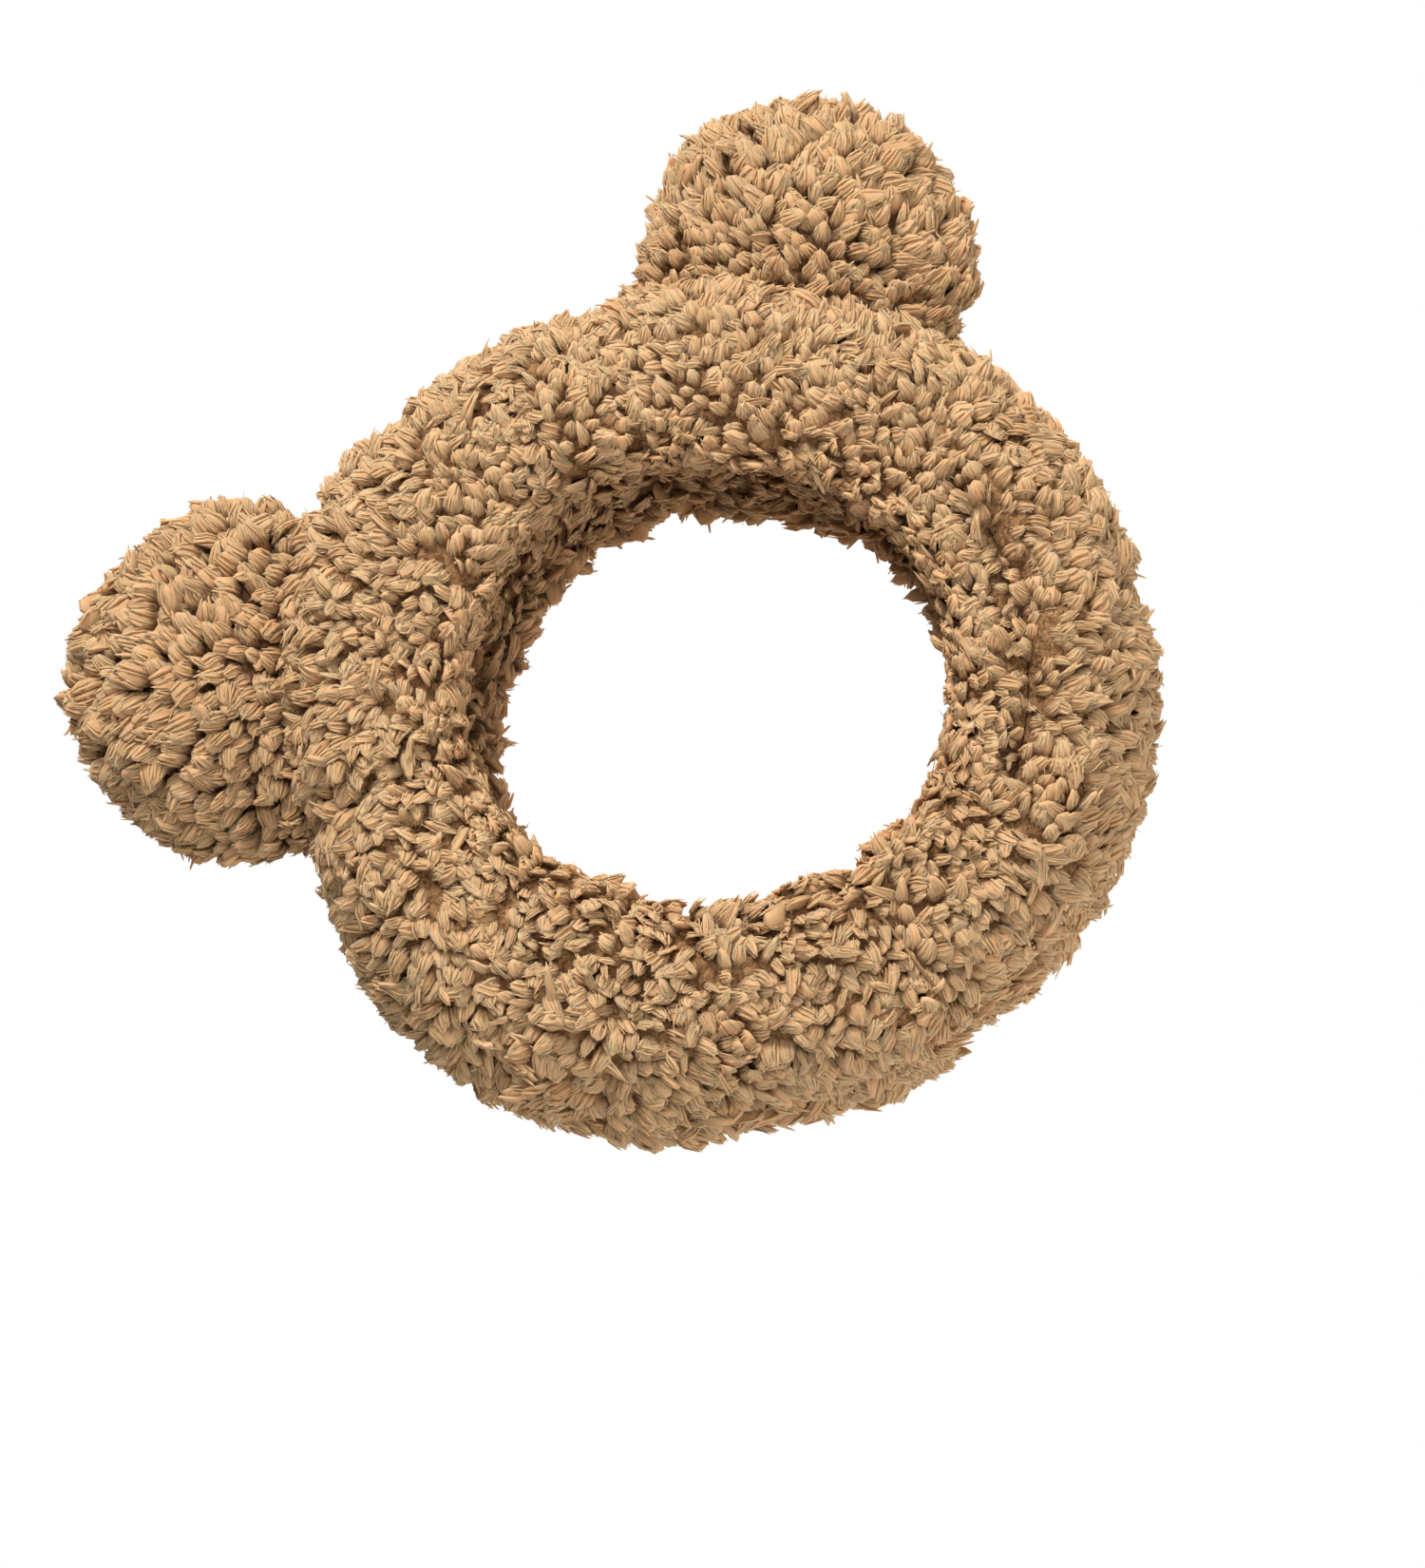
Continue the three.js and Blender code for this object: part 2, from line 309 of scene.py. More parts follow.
# Lock colour runs from shade at the root over middle to light at the tip, on a weighted sum of
# reach, the lock's own tone, fine grain, slow noise and its fibres, less a little. The darkening
# towards the root by reach is painted shade for the gaps between the locks.
def pileMaterial(name, shade, middle, light):
    material, nodes, links, shader = newMaterial(name)
    coords = addNode(nodes, "ShaderNodeTexCoord")
    slow = addNode(nodes, "ShaderNodeTexNoise", Scale=34.0, Detail=3.0, Roughness=0.6)
    grain = addNode(nodes, "ShaderNodeTexNoise", Scale=1100.0, Detail=2.0)
    for noise in (slow, grain):
        links.new(coords.outputs["Object"], noise.inputs["Vector"])
    lie = addNode(nodes, "ShaderNodeAttribute", attribute_name="lie")
    fibres = addNode(nodes, "ShaderNodeTexNoise", Scale=1.0, Detail=2.0, Roughness=0.6)
    links.new(lie.outputs["Vector"], fibres.inputs["Vector"])
    reach, tone = (addNode(nodes, "ShaderNodeAttribute", attribute_name=k) for k in ("reach", "tone"))
    sources = {"reach": reach, "tone": tone, "grain": grain, "slow": slow, "fibres": fibres}
    total = None
    for key, source in sources.items():
        part = addNode(nodes, "ShaderNodeMath", operation="MULTIPLY_ADD")
        links.new(source.outputs["Fac"], part.inputs[0])
        part.inputs[1].default_value = pileWeights[key]
        if total is None:
            part.inputs[2].default_value = -pileWeights["less"]
        else:
            links.new(total, part.inputs[2])
        total = part.outputs["Value"]
    colour = ramp(nodes, [(0.05, shade), (0.45, middle), (0.95, light)])
    links.new(total, colour.inputs["Fac"])
    links.new(colour.outputs["Color"], shader.inputs["Base Color"])
    bump = addNode(nodes, "ShaderNodeBump", Strength=0.5, Distance=0.0004)
    links.new(fibres.outputs["Fac"], bump.inputs["Height"])
    links.new(bump.outputs["Normal"], shader.inputs["Normal"])
    shader.inputs["Roughness"].default_value = 0.88
    shader.inputs["Specular IOR Level"].default_value = 0.2
    shader.inputs["Subsurface Weight"].default_value = 0.5
    shader.inputs["Subsurface Radius"].default_value = (1.0, 0.55, 0.28)
    shader.inputs["Subsurface Scale"].default_value = 0.0018
    shader.inputs["Sheen Weight"].default_value = 0.14
    shader.inputs["Sheen Tint"].default_value = (1.0, 0.82, 0.60, 1)
    shader.inputs["Sheen Roughness"].default_value = 0.5
    return material


# Ground at the foot of the tufts, its two browns darkened as painted shade so the gaps between the
# tufts read dark: fine 3D noise in the two browns, with a rough bump.
def groundMaterial(name, dark, pale):
    material, nodes, links, shader = newMaterial(name)
    coords = addNode(nodes, "ShaderNodeTexCoord")
    grain = addNode(nodes, "ShaderNodeTexNoise", Scale=430.0, Detail=4.0, Roughness=0.65, Distortion=1.2)
    links.new(coords.outputs["Object"], grain.inputs["Vector"])
    colour = ramp(nodes, [(0.38, dark), (0.62, pale)])
    links.new(grain.outputs["Fac"], colour.inputs["Fac"])
    links.new(colour.outputs["Color"], shader.inputs["Base Color"])
    bump = addNode(nodes, "ShaderNodeBump", Strength=1.0, Distance=0.0018)
    links.new(grain.outputs["Fac"], bump.inputs["Height"])
    links.new(bump.outputs["Normal"], shader.inputs["Normal"])
    shader.inputs["Roughness"].default_value = 0.95
    shader.inputs["Specular IOR Level"].default_value = 0.15
    return material


# Plain cloth or thread: one colour with a fine weave of bump.
def plainMaterial(name, tint, roughness, grainScale):
    material, nodes, links, shader = newMaterial(name)
    coords = addNode(nodes, "ShaderNodeTexCoord")
    grain = addNode(nodes, "ShaderNodeTexNoise", Scale=grainScale, Detail=3.0)
    links.new(coords.outputs["Object"], grain.inputs["Vector"])
    bump = addNode(nodes, "ShaderNodeBump", Strength=0.6, Distance=0.0006)
    links.new(grain.outputs["Fac"], bump.inputs["Height"])
    links.new(bump.outputs["Normal"], shader.inputs["Normal"])
    shader.inputs["Base Color"].default_value = (*tint, 1)
    shader.inputs["Roughness"].default_value = roughness
    return material


# the ground's two browns are painted shade for the gaps between the tufts; shade is the lock colour at the
# root, painted shade there
fleeceColours = {"shade": (0.21, 0.082, 0.024), "middle": (0.51, 0.282, 0.130),
                 "light": (0.67, 0.430, 0.235), "paintedShadeDark": (0.08, 0.031, 0.009),
                 "paintedShadePale": (0.42, 0.225, 0.098)}
fleecePile = pileMaterial("teddyFleecePile", *(fleeceColours[k] for k in ("shade", "middle", "light")))
fleeceGround = groundMaterial("teddyFleeceGroundPaintedShade", fleeceColours["paintedShadeDark"],
                              fleeceColours["paintedShadePale"])
waddingMaterial = plainMaterial("polyesterWadding", (0.82, 0.80, 0.74), 0.9, 220.0)
elasticMaterial = plainMaterial("elasticWeb", (0.79, 0.76, 0.69), 0.8, 900.0)
threadMaterial = plainMaterial("sewingThread", (0.25, 0.135, 0.055), 0.7, 1500.0)

# The pile: each lock is a soft petal with strands over its upper side and a loose fibre. A lock
# leaves the cloth at angle start and ends at angle end above it, both in degrees.
pileStyles = {
    "band": {"length": 0.0088, "lengthSpread": 0.14, "width": 0.0064, "widthSpread": 0.28, "strands": 7,
             "tone": 0.46, "flatness": 0.34, "start": 78, "end": 0, "bendSpread": 15, "sway": 0.45,
             "swirl": 1.1, "pitch": 0.0036, "flock": 6, "pull": 0.06, "root": -0.0055, "roll": 0.50},
    "ear": {"length": 0.0094, "lengthSpread": 0.11, "width": 0.0070, "widthSpread": 0.20, "strands": 9,
            "tone": 0.13, "flatness": 0.35, "start": 80, "end": 4, "bendSpread": 12, "sway": 0.30,
            "swirl": 0.8, "pitch": 0.0039, "flock": 6, "pull": 0.04, "root": -0.0054, "roll": 0.38},
}
petalShape = {"places": [0.0, 0.50, 0.89], "widths": [0.70, 0.97, 0.62], "sides": 5}
strandShape = {"places": [0.32, 0.66, 0.93], "widths": [0.90, 1.0, 0.62], "sides": 3}
fibreShape = {"places": [0.0, 0.55], "widths": [1.0, 0.7], "sides": 3}
# serrated moves the points of a petal's end along the lock; 0 leaves them plain
petalSpec = {"uneven": 0.06, "knobbly": 0.04, "cup": 0.36, "serrated": 0.0}
lockSpec = {"spread": 0.84, "strandWidth": 0.135, "cup": 0.36, "twist": 0.5, "splay": 0.06,
            "curl": 0.060, "lengthSpread": 0.065, "round": 0.16, "longest": 1.14,
            "widest": 0.32, "thickSpread": 0.15, "sizeSpread": 0.18, "phaseSpread": 0.12,
            "pastEdge": 0.45, "swingSpread": 0.36, "startSpread": 0.6, "leastBend": 0.12,
            "girthFrom": 0.20, "girthSpan": 0.66}
# swirls of the nap: weight, size and seed of each noise
swirls = [(0.6, 0.034, 11), (0.4, 0.015, 12)]
toneSpec = {"each": 0.18, "patches": 0.14, "strands": 0.07, "fibres": 0.1}
fibreSpec = {"each": 1, "least": 0.0008, "most": 0.0022, "thickness": 0.00015, "curl": 0.35,
             "scatter": 0.42, "from": 0.6, "to": 0.98, "aside": 0.6}
rootJitter = 0.38  # of a pitch, either way, for the place of each lock
# how fast the fibre pattern of the material changes round a lock, along it and from one to the next
fibreLie = {"round": 0.45, "along": 1.1, "apart": 3.7}


# Vectors made one long.
def unit(v):
    return v / np.maximum(np.linalg.norm(v, axis=-1, keepdims=True), 1e-9)


# One closed body per row of the arrays: rings round a centre line, a fan to the tip, a flat root.
# rings is (count, levels, sides, 3), tip is (count, 3); reach is the place along each body, or 0.9
# all over when it is loose. lie runs round a body by cos and sin, and on along it.
def lockMesh(name, rings, tip, shape, tone, rooted, material):
    count, levels, sides = rings.shape[:3]
    each = levels * sides + 1
    points = np.concatenate([rings.reshape(count, -1, 3), tip[:, None]], axis=1)
    quads, side, last = tubeQuads(levels, sides), np.arange(sides), (levels - 1) * sides
    fans = np.stack([last + side, last + (side + 1) % sides, np.full(sides, each - 1)], axis=-1)
    pattern = np.concatenate([quads.ravel(), fans.ravel(), side[::-1]])
    sizes = np.array([4] * len(quads) + [3] * sides + [sides])
    loops = (np.arange(count)[:, None] * each + pattern[None, :]).ravel()
    starts = np.concatenate([[0], np.cumsum(np.tile(sizes, count))[:-1]])

    mesh = bpy.data.meshes.new(name)
    mesh.vertices.add(count * each)
    mesh.vertices.foreach_set("co", points.astype(np.float32).ravel())
    mesh.loops.add(len(loops))
    mesh.loops.foreach_set("vertex_index", loops.astype(np.int32))
    mesh.polygons.add(len(starts))
    mesh.polygons.foreach_set("loop_start", starts.astype(np.int32))
    mesh.update(calc_edges=True)
    place = np.append(np.repeat(shape["places"], sides), 1.0)
    # reach darkens each rooted lock towards its root in the material: painted shade between the locks
    reach = place if rooted else np.full(each, 0.9)
    for label, values in (("tone", np.repeat(tone, each)), ("reach", np.tile(reach, count))):
        attribute = mesh.attributes.new(label, "FLOAT", "POINT")
        attribute.data.foreach_set("value", values.astype(np.float32))
    turn = np.append(np.tile(fullTurn * side / sides, levels), 0)
    lie = np.stack([fibreLie["round"] * sides * np.cos(turn), fibreLie["round"] * sides * np.sin(turn),
                    fibreLie["along"] * place], axis=-1)
    lie[-1, :2] = 0
    lie = lie[None] + np.array([0, 0, fibreLie["apart"]]) * np.arange(count)[:, None, None]
    attribute = mesh.attributes.new("lie", "FLOAT_VECTOR", "POINT")
    attribute.data.foreach_set("vector", lie.astype(np.float32).ravel())
    return placePiece(name, mesh, material)


# Index of the nearest of some points to each of others.
def nearestOf(points, centres):
    tree = kdtree.KDTree(len(centres))
    for index, centre in enumerate(centres.tolist()):
        tree.insert(centre, index)
    tree.balance()
    return np.array([tree.find(point)[1] for point in points.tolist()])


# Centre lines: with the heading at angle a(s) = start + (end - start) s above the cloth, the line is
# its integral, swayed sideways by s^2 and drawn by s^2 towards the tip of its flock's leader. The nap
# is laid flat on the cloth first and swung about the normal by smooth noise.
def lockLines(roots, normals, nap, lift, length, style, s, rng):
    count = len(roots)
    spread = math.radians(style["bendSpread"])
    start = math.radians(style["start"]) + rng.normal(0, spread * lockSpec["startSpread"], count)
    end = math.radians(style["end"]) + lift + rng.normal(0, spread, count)
    bend = np.minimum(end - start, -lockSpec["leastBend"])
    swing = style["swirl"] * sum(weight * softNoise(roots, size, seed) for weight, size, seed in swirls)
    swing = swing + rng.normal(0, lockSpec["swingSpread"], count)
    nap = unit(nap - normals * np.einsum("ij,ij->i", nap, normals)[:, None])
    side = np.cross(normals, nap)
    nap = nap * np.cos(swing)[:, None] + side * np.sin(swing)[:, None]
    side = np.cross(normals, nap)
    angle = start[:, None] + bend[:, None] * s[None, :]
    ahead = (np.sin(angle) - np.sin(start)[:, None]) / bend[:, None]
    above = -(np.cos(angle) - np.cos(start)[:, None]) / bend[:, None]
    sway = rng.normal(0, style["sway"], count)[:, None] * s[None, :] ** 2
    line = roots[:, None, :] + length[:, None, None] * (
        nap[:, None, :] * ahead[..., None] + normals[:, None, :] * above[..., None]
        + side[:, None, :] * sway[..., None])
    leaders = rng.choice(count, max(1, count // style["flock"]), replace=False)
    leader = leaders[nearestOf(line[:, -1], line[leaders, -1])]
    draw = (line[leader, -1] - line[:, -1]) * style["pull"]
    return line + draw[:, None, :] * (s ** 2)[None, :, None]


# Rings round a line: flank cos(theta) + crest sin(theta), times the shape's width at each place.
def ringsAlong(line, flank, crest, shape):
    theta = fullTurn * np.arange(shape["sides"]) / shape["sides"]
    girth = np.array(shape["widths"])[None, :, None] * np.ones((len(line), 1, shape["sides"]))
    return (line[:, :-1, None, :] + flank[:, :-1, None, :] * (girth * np.cos(theta))[..., None]
            + crest[:, :-1, None, :] * (girth * np.sin(theta))[..., None])


# Petals: flank g cos t + crest g sin t - drop g^2 cos^2 t, with an uneven girth g; each point is
# moved along the lock by serrated s^6.
def petalRings(line, flank, crest, drop, heading, rng):
    spec, shape = petalSpec, petalShape
    sides, count = shape["sides"], len(line)
    s = np.array(shape["places"])[None, :, None]
    theta = fullTurn * np.arange(sides) / sides
    girth = np.array(shape["widths"])[None, :, None] * np.ones((count, 1, sides))
    uneven = spec["uneven"] * rng.normal(size=(count, 1, sides))
    girth = girth * (1 + uneven + spec["knobbly"] * rng.normal(size=girth.shape))
    across, over = girth * np.cos(theta), girth * np.sin(theta)
    shift = spec["serrated"] * rng.normal(size=girth.shape) * s ** 6
    return (line[:, :-1, None, :] + flank[:, :-1, None, :] * across[..., None]
            + crest[:, :-1, None, :] * over[..., None] - drop[:, :-1, None, :] * (across ** 2)[..., None]
            + heading[:, :-1, None, :] * shift[..., None])


# The places of a shape's rings and of its tip, from 0 at the root to 1.
def shapeStops(shape):
    return np.append(shape["places"], 1.0)


# Value at s of arrays kept at even steps of a lock, by straight blending of the two nearest.
def sampleLine(line, s):
    where = np.clip(s, 0, 1) * (line.shape[1] - 1)
    low = np.minimum(where.astype(int), line.shape[1] - 2)
    part = (where - low)[..., None]
    row = np.arange(len(line))[:, None]
    return line[row, low] * (1 - part) + line[row, low + 1] * part


# Girth of a lock along it: sin(pi (from + span s)) swells and closes again.
def girthAt(s):
    return np.sin(math.pi * (lockSpec["girthFrom"] + lockSpec["girthSpan"] * s))


# What the parts of a lock share, a row to a lock: centre line, directions along, beside and above
# it, length, half width, half thickness and tone. Across and up are rolled by roll + twist s.
def planLocks(roots, normals, nap, lift, scale, paintedShade, style, rng):
    spec, count = lockSpec, len(roots)
    s = np.linspace(0, 1, 13)
    length = np.minimum(np.exp(rng.normal(0, style["lengthSpread"], count)), spec["longest"])
    length = style["length"] * scale * length
    line = lockLines(roots, normals, nap, lift, length, style, s, rng)
    heading = unit(np.gradient(line, axis=1))
    across = unit(np.cross(heading, normals[:, None, :] + 0.01 * rng.normal(size=(count, 1, 3))))
    up = np.cross(across, heading)
    roll = (rng.normal(0, style["roll"], count)[:, None]
            + rng.normal(0, spec["twist"], count)[:, None] * s[None, :])[..., None]
    across, up = across * np.cos(roll) + up * np.sin(roll), up * np.cos(roll) - across * np.sin(roll)
    wider = np.minimum(rng.normal(0, style["widthSpread"], count), spec["widest"])
    width = style["width"] / 2 * scale * np.exp(wider)
    thick = width * style["flatness"] * np.exp(rng.normal(0, spec["thickSpread"], count))
    # paintedShade darkens a lock's tone where shade falls: on the head side's wall, in the parted groove
    # and at the ears' base
    tone = (style["tone"] + toneSpec["each"] * rng.normal(size=count)
            + toneSpec["patches"] * softNoise(roots, 0.016, 21))
    return {"line": line, "heading": heading, "across": across, "up": up, "length": length,
            "width": width, "thick": thick, "tone": np.clip(tone, 0, 1) + paintedShade}


# A petal is as wide as its lock across and as thick above, its edges dropped by cup w.
def growPetals(name, locks, rng):
    width, stops = locks["width"], np.tile(shapeStops(petalShape), (len(locks["width"]), 1))
    flank = sampleLine(locks["across"], stops) * width[:, None, None]
    crest = sampleLine(locks["up"], stops) * locks["thick"][:, None, None]
    middle = sampleLine(locks["line"], stops)
    drop = sampleLine(locks["up"], stops) * (petalSpec["cup"] * width)[:, None, None]
    ahead = sampleLine(locks["heading"], stops) * locks["length"][:, None, None]
    petals = petalRings(middle, flank, crest, drop, ahead, rng)
    return lockMesh(name, petals, middle[:, -1], petalShape, locks["tone"], True, fleecePile)


# Strands lie over the petal at phases p, evenly from just below one edge to just below the other:
# across r cos p + up r (t/w sin p - cup cos^2 p) with r = (spread girth + splay s^3) w, each
# 1 - round cos^2 p as long as its lock, and curled by s^3.
def growStrands(name, locks, each, rng):
    spec, count = lockSpec, len(locks["width"])
    lock = np.repeat(np.arange(count), each)
    many = len(lock)
    line, heading, across, up = (locks[k][lock] for k in ("line", "heading", "across", "up"))
    length, width = locks["length"][lock], locks["width"][lock]
    span = math.pi + 2 * spec["pastEdge"]
    phase = span * (np.tile(np.arange(each), count) + 0.5) / each - spec["pastEdge"]
    phase = phase + rng.normal(0, spec["phaseSpread"], many)
    own = 1 - spec["round"] * np.cos(phase) ** 2 + rng.normal(0, spec["lengthSpread"], many)
    s = shapeStops(strandShape)[None, :] * own[:, None]
    past = np.maximum(s - 1, 0) * length[:, None]
    centre = sampleLine(line, s) + sampleLine(heading, s) * past[..., None]
    reachOut = (spec["spread"] * girthAt(np.minimum(s, 1)) + spec["splay"] * s ** 3) * width[:, None]
    sideways = reachOut * np.cos(phase)[:, None]
    bulge = (locks["thick"] / locks["width"])[lock] * np.sin(phase) - spec["cup"] * np.cos(phase) ** 2
    outward = reachOut * bulge[:, None]
    centre = (centre + sampleLine(across, s) * sideways[..., None]
              + sampleLine(up, s) * outward[..., None])
    curl = spec["curl"] * length[:, None, None] * rng.normal(size=(many, 1, 3))
    centre = centre + curl * (s ** 3)[..., None]
    course = unit(np.gradient(centre, axis=1))
    flank = unit(np.cross(course, rng.normal(size=(many, 1, 3))))
    crest = np.cross(course, flank)
    size = spec["strandWidth"] * width * np.exp(rng.normal(0, spec["sizeSpread"], many))
    size = size[:, None, None]
    strands = ringsAlong(centre, flank * size, crest * size, strandShape)
    tone = locks["tone"][lock] + toneSpec["strands"] * rng.normal(size=many)
    return lockMesh(name, strands, centre[:, -1], strandShape, tone, True, fleecePile)


# A loose fibre starts in the outer part of its lock: begin + size (course s + curl s^2).
def growFibres(name, locks, rng):
    spec = fibreSpec
    lock = np.repeat(np.arange(len(locks["width"])), spec["each"])
    many = len(lock)
    s = rng.uniform(spec["from"], spec["to"], (many, 1))
    aside = locks["width"][lock] * rng.uniform(-spec["aside"], spec["aside"], many)
    begin = (sampleLine(locks["line"][lock], s)[:, 0]
             + sampleLine(locks["across"][lock], s)[:, 0] * aside[:, None])
    course = sampleLine(locks["heading"][lock], s)[:, 0] + spec["scatter"] * rng.normal(size=(many, 3))
    course = unit(course)
    steps = shapeStops(fibreShape)[None, :, None]
    curl = spec["curl"] * rng.normal(size=(many, 1, 3))
    size = rng.uniform(spec["least"], spec["most"], (many, 1, 1))
    fibre = begin[:, None, :] + size * (course[:, None, :] * steps + curl * steps ** 2)
    flank = unit(np.cross(course, rng.normal(size=(many, 3))))[:, None, :] * np.ones((1, 3, 1))
    crest = np.cross(course[:, None, :], flank)
    fibres = ringsAlong(fibre, flank * spec["thickness"], crest * spec["thickness"], fibreShape)
    tone = locks["tone"][lock] + toneSpec["fibres"]
    return lockMesh(name, fibres, fibre[:, -1], fibreShape, tone, False, fleecePile)


# Petals, strands and fibres from one seed, joined into one piece.
def growPile(name, roots, normals, nap, lift, scale, paintedShade, style, seed):
    rng = np.random.default_rng(seed)
    locks = planLocks(roots, normals, nap, lift, scale, paintedShade, style, rng)
    parts = [growPetals(name, locks, rng), growStrands(name + "Strands", locks, style["strands"], rng),
             growFibres(name + "Fibres", locks, rng)]
    bpy.ops.object.select_all(action="DESELECT")
    for part in parts:
        part.select_set(True)
    bpy.context.view_layer.objects.active = parts[0]
    bpy.ops.object.join()
    return parts[0]


# lean: degrees from straight up; distance: of the ear's middle from the ring's; bendStart and
# bendEnd are distances from the ring's centre
ears = {
    "left": {"lean": -49.6, "radius": 0.0450, "distance": 0.1220, "plump": 0.0016, "seed": 300},
    "right": {"lean": 48.7, "radius": 0.0440, "distance": 0.1200, "plump": 0.0004, "seed": 400},
}
for ear in ears.values():
    angle = math.radians(ear["lean"])
    ear["halfDepth"] = halfSize("right_ear_front_fleece", 1) * 2 + 0.0002
    ear["out"] = np.array([math.sin(angle), 0, math.cos(angle)])
    ear["across"] = np.array([math.cos(angle), 0, -math.sin(angle)])
    ear["bendStart"], ear["bendEnd"] = 0.108, 0.134
earSpec = {"groundDepth": 0.0044, "backingDepth": 0.0088, "stuffingDepth": 0.0096, "swell": 0.0010,
           "dimple": 0.0005, "seamRadius": 0.0343, "threadRadius": 0.00035, "seamRoom": 0.0036,
           "groundRoom": -0.0036, "backingRoom": -0.0028, "stuffingRoom": 0.0032}


# Points measured from an ear's middle: across it, along Y and outwards.
def earLocal(ear, points):
    away = points - ear["out"] * ear["distance"]
    return np.stack([away @ ear["across"], away[..., 1], away @ ear["out"]], axis=-1)


# Inside the ring when |rise / b|^n + |y / a|^n < 1, both half-sizes grown by the margin.
def insideRing(points, margin):
    rise = np.hypot(points[..., 0], points[..., 2]) - ring["midRadius"]
    return (np.abs(rise / (ring["halfRadial"] + margin)) ** ring["outerPower"]
            + np.abs(points[..., 1] / (ring["halfAxial"] + margin)) ** ring["outerPower"]) < 1


# Points inside the ring slide out along the ear until they are on it: halving a step 22 times.
def restOnRing(points, ear, room):
    inside = insideRing(points, room)
    travel, step = np.zeros(points.shape[:-1]), 0.05
    for _ in range(22):
        step /= 2
        still = insideRing(points + (travel + step)[..., None] * ear["out"], room)
        travel = np.where(inside & still, travel + step, travel)
    return points + np.where(inside, travel, 0)[..., None] * ear["out"]


# Ellipsoid (R sin b cos p, -D cos b, R sin b sin p), moved along its normal by height less noise.
def earSurface(ear, polar, spin, height):
    x, y, z = np.sin(polar) * np.cos(spin), -np.cos(polar), np.sin(polar) * np.sin(spin)
    big, deep = ear["radius"], ear["halfDepth"]
    axes = np.stack([ear["across"], np.array([0, 1.0, 0]), ear["out"]])
    normal = unit(np.stack([x / big, y / deep, z / big], axis=-1)) @ axes
    point = np.stack([big * x, deep * y, big * z], axis=-1) @ axes + ear["out"] * ear["distance"]
    flat = point.reshape(-1, 3)
    rough = earSpec["swell"] * softNoise(flat, 0.045, 7) + earSpec["dimple"] * softNoise(flat, 0.018, 8)
    return point + normal * (height + rough.reshape(point.shape[:-1]))[..., None], normal


# Inside either ear's ellipsoid when (x^2 + z^2) / R^2 + y^2 / D^2 < 1, both less the margin.
def insideEar(points, margin):
    inside = np.zeros(len(points), bool)
    for ear in ears.values():
        local = earLocal(ear, points)
        across = (local[:, 0] ** 2 + local[:, 2] ** 2) / (ear["radius"] - margin) ** 2
        inside |= across + (local[:, 1] / (ear["halfDepth"] - margin)) ** 2 < 1
    return inside


# Staggered rows along the section; each row has its own number of places round the ring.
def scatterOnRing(first, last, pitch, seed):
    rng = np.random.default_rng(seed)
    rows = max(2, round((last - first) / pitch))
    places = first + (last - first) * (np.arange(rows) + 0.5) / rows
    places = np.concatenate([[first], places, [last]])
    angles, alongs = [], []
    for row, along in enumerate(places):
        radius = ring["midRadius"] + np.interp(along, section["along"], section["rise"])
        many = round(fullTurn * radius / pitch)
        jitter = rng.uniform(-rootJitter, rootJitter, (2, many))
        angles.append(fullTurn * (np.arange(many) + 0.5 * (row % 2) + jitter[0]) / many)
        alongs.append(along + pitch * jitter[1])
    return np.mod(np.concatenate(angles), fullTurn), np.clip(np.concatenate(alongs), first, last)


# How the ring's pile is laid: parted at the nape (strength, reach) and at the groove; locks stray
# beside the seams, and are shorter on the head side; painted shade darkens the head side's wall and
# the parted groove beside the seam.
layingSpec = {
    "rootSpread": 0.0004, "napeParting": 1.5, "napeReach": 0.016, "partedReach": 0.05,
    "partedAcross": 0.012, "partedLeast": 0.4, "stray": 0.6, "seamReach": 0.0045, "seamLift": 0.10,
    "wallShadeReach": 0.032, "wallShadeDim": 0.8, "grooveShadeDim": 0.5, "faceShorter": 0.22,
    "wallShorter": 0.28, "shortest": 0.55, "underEar": 0.017,
}
# nap: strength along the section and round the ring; sectors keep each piece a workable size
panels = {
    "Outer": {"from": 0.0002, "to": section["outerLength"] - 0.0002, "nap": 1.0, "round": -0.38,
              "sectors": 5, "seed": 100, "node": "band_outer_fleece"},
    "Inner": {"from": section["outerLength"] + 0.0002, "to": section["length"] - 0.0002, "nap": 0.8,
              "round": -0.25, "sectors": 4, "seed": 200, "node": "band_inner_fleece"},
}


